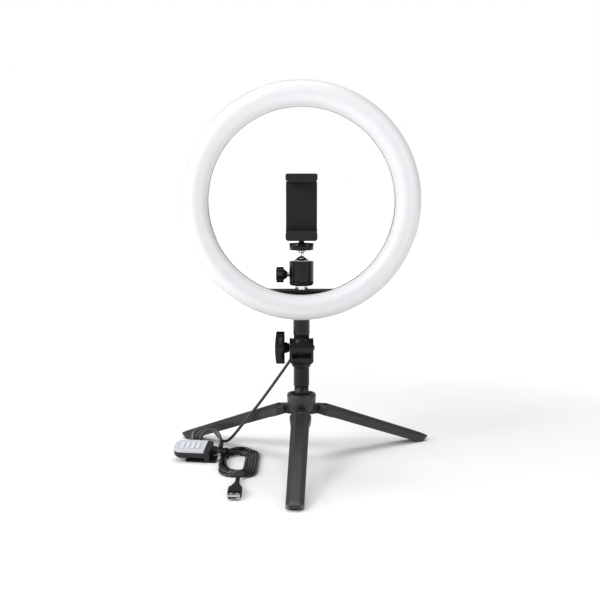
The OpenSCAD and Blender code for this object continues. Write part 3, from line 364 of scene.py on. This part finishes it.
def reworked(node, width):
    # the node's own shape, its triangles joined, its corners eased where a width is given
    source = frame["nodes"][node]
    mesh = source.data.copy()
    bm = bmesh.new()
    bm.from_mesh(mesh)
    bmesh.ops.remove_doubles(bm, verts=bm.verts, dist=0.000004)
    if width:
        bmesh.ops.dissolve_limit(bm, angle_limit=radians(0.4), verts=bm.verts, edges=bm.edges)
    bm.to_mesh(mesh)
    bm.free()
    mesh.set_sharp_from_angle(angle=radians(30))
    piece = bpy.data.objects.new(node + "_soft", mesh)
    scene.collection.objects.link(piece)
    wear(piece, finishOf[node])
    if width:
        bevel = piece.modifiers.new("edges", "BEVEL")
        bevel.width = width
        bevel.segments = 2
        bevel.limit_method = "ANGLE"
        bevel.angle_limit = radians(32)
        bevel.use_clamp_overlap = True
        flat = piece.modifiers.new("flats", "WEIGHTED_NORMAL")
        flat.keep_sharp = True
    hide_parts(node)
    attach(piece, bodyOf[source.name])
    return piece


edgeWidths = {
    "leg_front": 0.0006, "leg_right": 0.0006, "leg_left": 0.0006, "holder_body": 0.0005,
    "holder_cover": 0.0005,
    "sliding_jaw": 0.0005, "bridge_body": 0.0005, "bridge_cover": 0.0005, "remote_base": 0.0004,
    "remote_top": 0.0004,
    "remote_clip": 0.0003, "button_power": 0.0003, "button_colour": 0.0003, "button_brighter": 0.0003,
    "button_dimmer": 0.0003, "stud_nut": 0.0003, "tilt_nut": 0.0002, "plug_body": 0.0004,
}
untouched = ("led_board", "led_chips", "jaw_springs", "remote_board", "plug_insert", "holder_pads",
             "jaw_pad")
replacedByCords = ("lamp_cord", "left_hank", "right_hank")
for node in finishOf:
    if node in replacedByCords:
        continue
    frame["nodes"][node] if node in untouched else reworked(node, edgeWidths.get(node, 0))
print("edges softened on", len(edgeWidths), "pieces")


# ---- cords

cordLook = {"radius": 0.0017, "diameter": 0.0034, "floor": 1.75}


def smoothRoute(points, steps, rounds):
    # a rounded curve through every point, tight corners eased first
    for _ in range(rounds):
        inner = [(points[i - 1] + 2 * points[i] + points[i + 1]) / 4 for i in range(3, len(points) - 3)]
        points = points[:3] + inner + points[-3:]
    found = []
    last = len(points) - 1
    for i in range(last):
        a, b, c, d = points[max(i - 1, 0)], points[i], points[i + 1], points[min(i + 2, last)]
        for k in range(steps):
            u = k / steps
            found.append(0.5 * (2 * b + (c - a) * u + (2 * a - 5 * b + 4 * c - d) * u * u
                                + (3 * b - a - 3 * c + d) * u * u * u))
    for point in found:
        point.z = max(point.z, cordLook["radius"])
    return found + [points[last]]


def routeLength(points):
    return sum((b - a).length for a, b in zip(points, points[1:]))


def cordCurve(name, points, radius):
    curve = bpy.data.curves.new(name, "CURVE")
    curve.dimensions = "3D"
    curve.bevel_depth = radius
    curve.bevel_resolution = 4
    curve.use_fill_caps = True
    spline = curve.splines.new("POLY")
    spline.points.add(len(points) - 1)
    for point, where in zip(spline.points, points):
        point.co = (*where, 1)
    thing = bpy.data.objects.new(name, curve)
    scene.collection.objects.link(thing)
    return thing


def curveToMesh(thing):
    bpy.context.view_layer.update()
    mesh = bpy.data.meshes.new_from_object(thing.evaluated_get(bpy.context.evaluated_depsgraph_get()))
    name = thing.name
    bpy.data.objects.remove(thing)
    solid = bpy.data.objects.new(name, mesh)
    scene.collection.objects.link(solid)
    for face in mesh.polygons:
        face.use_smooth = True
    return solid


def metres(rows):
    return [Vector(row) / 1000 for row in rows]


hangRoute = metres([
    (0, 17, 157), (0, 17, 150), (-0.5, 17.5, 142), (-2.5, 18, 133), (-6, 19, 123), (-11, 20, 114),
    (-17, 20.5, 105.5), (-24, 21, 95.5), (-31, 21, 85.5), (-38, 21, 75.5), (-46, 21, 64.5),
    (-54, 20.5, 54),
    (-62, 20, 44), (-70, 19.5, 34.5), (-77, 19.5, 25), (-83.5, 21, 16.5), (-89.5, 25, 10.5),
    (-95.5, 30.5, 8.5)])

# middle, half length and half height of each open loop, from the back one to the front one
loops = [
    {"middle": (-115, 41, 10.5), "along": (-18.5, 9.5, 2), "up": (2, 7.5, 12.5)},
    {"middle": (-112, 33, 11), "along": (-19.5, 12, 3), "up": (1, 8, 14)},
    {"middle": (-108.5, 26, 11.5), "along": (-13, 7, 1.5), "up": (4, 8.5, 14)},
]


def loopRoute():
    # turns standing on the floor behind the remote
    found = []
    for turn, loop in enumerate(loops):
        after = loops[min(turn + 1, len(loops) - 1)]
        first = 2 if turn == 0 else 0
        last = 14 if turn == len(loops) - 1 else 18
        for k in range(first, last):
            angle = 2 * pi * k / 18
            ease = max(0, (k - 10) / 8) if turn < len(loops) - 1 else 0
            middle, along, up = (Vector(loop[part]).lerp(Vector(after[part]), ease)
                                 for part in ("middle", "along", "up"))
            where = middle - along * cos(angle) + up * sin(angle)
            over = where.z - cordLook["floor"]
            lifted = cordLook["floor"] + (over + (over * over + 6) ** 0.5) / 2
            found.append(Vector((where.x, where.y, lifted)) / 1000)
    return found


toRemote = metres([(-105, 13.4, 1.8), (-98.5, 11.8, 3.2), (-94.3, 11.8, 5.9), (-91.6, 10.2, 8.5),
                   (-90.3, 6.2, 9.8),
                   (-90.3, 1.5, 9.8), (-90.9, -2.0, 10.0), (-92.3, -5.2, 10.8), (-94.7, -7.5, 12.0),
                   (-97.3, -8.3, 12.7),
                   (-99.6, -8.0, 12.8)])
lampRoute = smoothRoute(hangRoute + loopRoute() + toRemote, 4, 2)
lampCord = curveToMesh(cordCurve("lampCord", lampRoute, cordLook["radius"]))
wear(lampCord, "cordJacket")
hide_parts("lamp_cord", "left_hank")
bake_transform(lampCord)

# the outermost turn's left side, its half width and the middles of its two round ends
hank = {"left": -90.55, "half": 20.6, "top": 2, "bottom": -50, "tie": -2, "bulge": 0.22, "ripple": 0.7,
        "shrink": 0.9, "perTurn": 36, "lastTurn": 22}
# share of the turn, distance inwards and height
turns = [
    [(0, 3.65, 8.65), (0.03, 3.65, 8.65), (0.06, 7.6, 7.2), (0.09, 10.6, 4.4), (0.13, 13.7, 1.75),
     (0.74, 13.7, 1.75),
     (0.78, 10.6, 1.75), (0.82, 7.2, 1.9), (0.85, 6.1, 4.1), (0.89, 3.65, 5.25), (1, 3.65, 5.25)],
    [(0, 3.65, 5.25), (0.06, 3.65, 5.25), (0.085, 6.2, 4.2), (0.11, 7.2, 1.75), (0.15, 10.3, 1.75),
     (0.71, 10.3, 1.75),
     (0.75, 7.1, 1.75), (0.80, 3.65, 1.75), (1, 3.65, 1.75)],
    [(0, 3.65, 1.75), (0.12, 3.65, 1.75), (0.19, 7, 1.75), (0.68, 7, 1.75), (0.725, 3.65, 1.75),
     (0.755, 2.6, 4.1),
     (0.785, 0, 5.25), (1, 0, 5.25)],
    [(0, 0, 5.25), (0.16, 0, 5.25), (0.20, 2.5, 4.2), (0.24, 3.55, 1.75), (0.65, 3.55, 1.75),
     (0.69, 0, 1.75), (1, 0, 1.75)],
    [(0, 0, 1.75), (1, 0, 1.75)],
]


def between(rows, share):
    for (a, *low), (b, *high) in zip(rows, rows[1:]):
        if share <= b:
            mix = (share - a) / (b - a)
            return [p + (q - p) * mix for p, q in zip(low, high)]
    return rows[-1][1:]


def ovalPoint(share, inward, shorter):
    # round the oval from the tie: up, over, down and back
    middle = hank["left"] + hank["half"]
    reach = hank["half"] - inward
    top, bottom = hank["top"] - shorter, hank["bottom"] + 1.4 * shorter
    spans = [top - hank["tie"], pi * hank["half"], top - bottom, pi * hank["half"], hank["tie"] - bottom]
    done = share * sum(spans)
    for part, span in enumerate(spans):
        if done <= span or part == 4:
            break
        done -= span
    if part == 0:
        x, y = middle - reach, hank["tie"] + done
    elif part == 1:
        x, y = middle - reach * cos(done / hank["half"]), top + reach * sin(done / hank["half"])
    elif part == 2:
        x, y = middle + reach, top - done
    elif part == 3:
        x, y = middle + reach * cos(done / hank["half"]), bottom - reach * sin(done / hank["half"])
    else:
        x, y = middle - reach, bottom + done
    # the right side hangs out further than the gathered left one
    spread = max(-1, min(1, (y + 24) / 50)) * hank["bulge"] * (x - hank["left"])
    return x, y + spread + hank["ripple"] * sin(x / 6)


def hankRoute():
    found = []
    for number, rows in enumerate(turns):
        turnsLeft = len(turns) - 1 - number
        for k in range(hank["perTurn"] if turnsLeft else hank["lastTurn"]):
            share = k / hank["perTurn"]
            inward, height = between(rows, share)
            x, y = ovalPoint(share, inward, hank["shrink"] * turnsLeft)
            nearTie = max(0, 1 - max(0, abs(y - hank["tie"]) - 3) / 12) if x < -80 else 0
            found.append((x, y, height + 1.1 * nearTie))
    return metres(found)


plugLow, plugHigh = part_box("plug_body")
plugEnd = Vector(((plugLow.x + plugHigh.x) / 2, plugHigh.y, (plugLow.z + plugHigh.z) / 2))
fromRemote = metres([(-99.8, -11.9, 11.8), (-96.8, -12.3, 11.8), (-93, -12.7, 11.7),
                     (-89.7, -11.3, 11.1),
                     (-87.6, -8.2, 10.4), (-86.9, -4.8, 9.9)])
plugSteps = ((5.4, 9.5, -1.6), (2.0, 5.2, -0.6), (0, 0, 0), (0, -8, 0))
toPlug = [plugEnd + Vector(step) / 1000 for step in plugSteps]
plugRoute = smoothRoute(fromRemote + hankRoute() + toPlug, 4, 2)
plugCord = cordCurve("plugCord", plugRoute, cordLook["radius"])
wear(plugCord, "cordJacket")
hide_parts("right_hank")
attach(plugCord, "stand")
print("cords laid:", round(routeLength(lampRoute), 3), "m to the remote,",
      round(routeLength(plugRoute), 3), "m to the plug")


# ---- floor and light

floorMesh = bpy.data.meshes.new("floor")
bm = bmesh.new()
bmesh.ops.create_grid(bm, x_segments=1, y_segments=1, size=6)
bm.to_mesh(floorMesh)
bm.free()
floor = bpy.data.objects.new("floor", floorMesh)
scene.collection.objects.link(floor)
floorPaint = bpy.data.materials.new("floorPaint")
floorPaint.use_nodes = True
floorShader = floorPaint.node_tree.nodes["Principled BSDF"]
floorShader.inputs["Base Color"].default_value = (0.93, 0.93, 0.93, 1)
floorShader.inputs["Roughness"].default_value = 0.7
# the floor brightens with distance until it meets the white behind
make, link = floorPaint.node_tree.nodes.new, floorPaint.node_tree.links.new
place = make("ShaderNodeTexCoord")
away = make("ShaderNodeVectorMath")
away.operation = "LENGTH"
rise = make("ShaderNodeMapRange")
rise.interpolation_type = "SMOOTHSTEP"
rise.inputs["From Min"].default_value = 0.22
rise.inputs["From Max"].default_value = 1.6
rise.inputs["To Max"].default_value = 1.1
link(place.outputs["Object"], away.inputs[0])
link(away.outputs["Value"], rise.inputs["Value"])
link(rise.outputs["Result"], floorShader.inputs["Emission Strength"])
floorShader.inputs["Emission Color"].default_value = (1, 1, 1, 1)
floor.data.materials.append(floorPaint)

# the camera sees plain white, the pieces a dimmer room
world = bpy.data.worlds.new("studio")
world.use_nodes = True
tree = world.node_tree
rays = tree.nodes.new("ShaderNodeLightPath")
room = tree.nodes.new("ShaderNodeMix")
room.data_type = "FLOAT"
room.inputs[2].default_value = 0.30
room.inputs[3].default_value = 1.0
tree.links.new(rays.outputs["Is Camera Ray"], room.inputs[0])
tree.links.new(room.outputs[0], tree.nodes["Background"].inputs["Strength"])
tree.nodes["Background"].inputs["Color"].default_value = (1, 1, 1, 1)
scene.world = world
scene.view_settings.view_transform = "Standard"

lamps = {
    "keySoftbox": {"at": (-1.3, -1.0, 1.3), "size": 0.9, "power": 20},
    "fillSoftbox": {"at": (1.5, -0.9, 0.9), "size": 0.8, "power": 8},
    "topSoftbox": {"at": (0.0, 0.1, 1.9), "size": 1.2, "power": 17},
    "leftStrip": {"at": (-0.9, -0.1, 0.4), "size": 0.35, "power": 3},
}
for name, lamp in lamps.items():
    light = bpy.data.lights.new(name, "AREA")
    light.energy = lamp["power"]
    light.size = lamp["size"]
    holder = bpy.data.objects.new(name, light)
    holder.location = lamp["at"]
    aim = Vector((0, 0, 0.2)) - Vector(lamp["at"])
    holder.rotation_euler = aim.to_track_quat("-Z", "Y").to_euler()
    scene.collection.objects.link(holder)
print("floor and lights set")

bpy.context.view_layer.update()
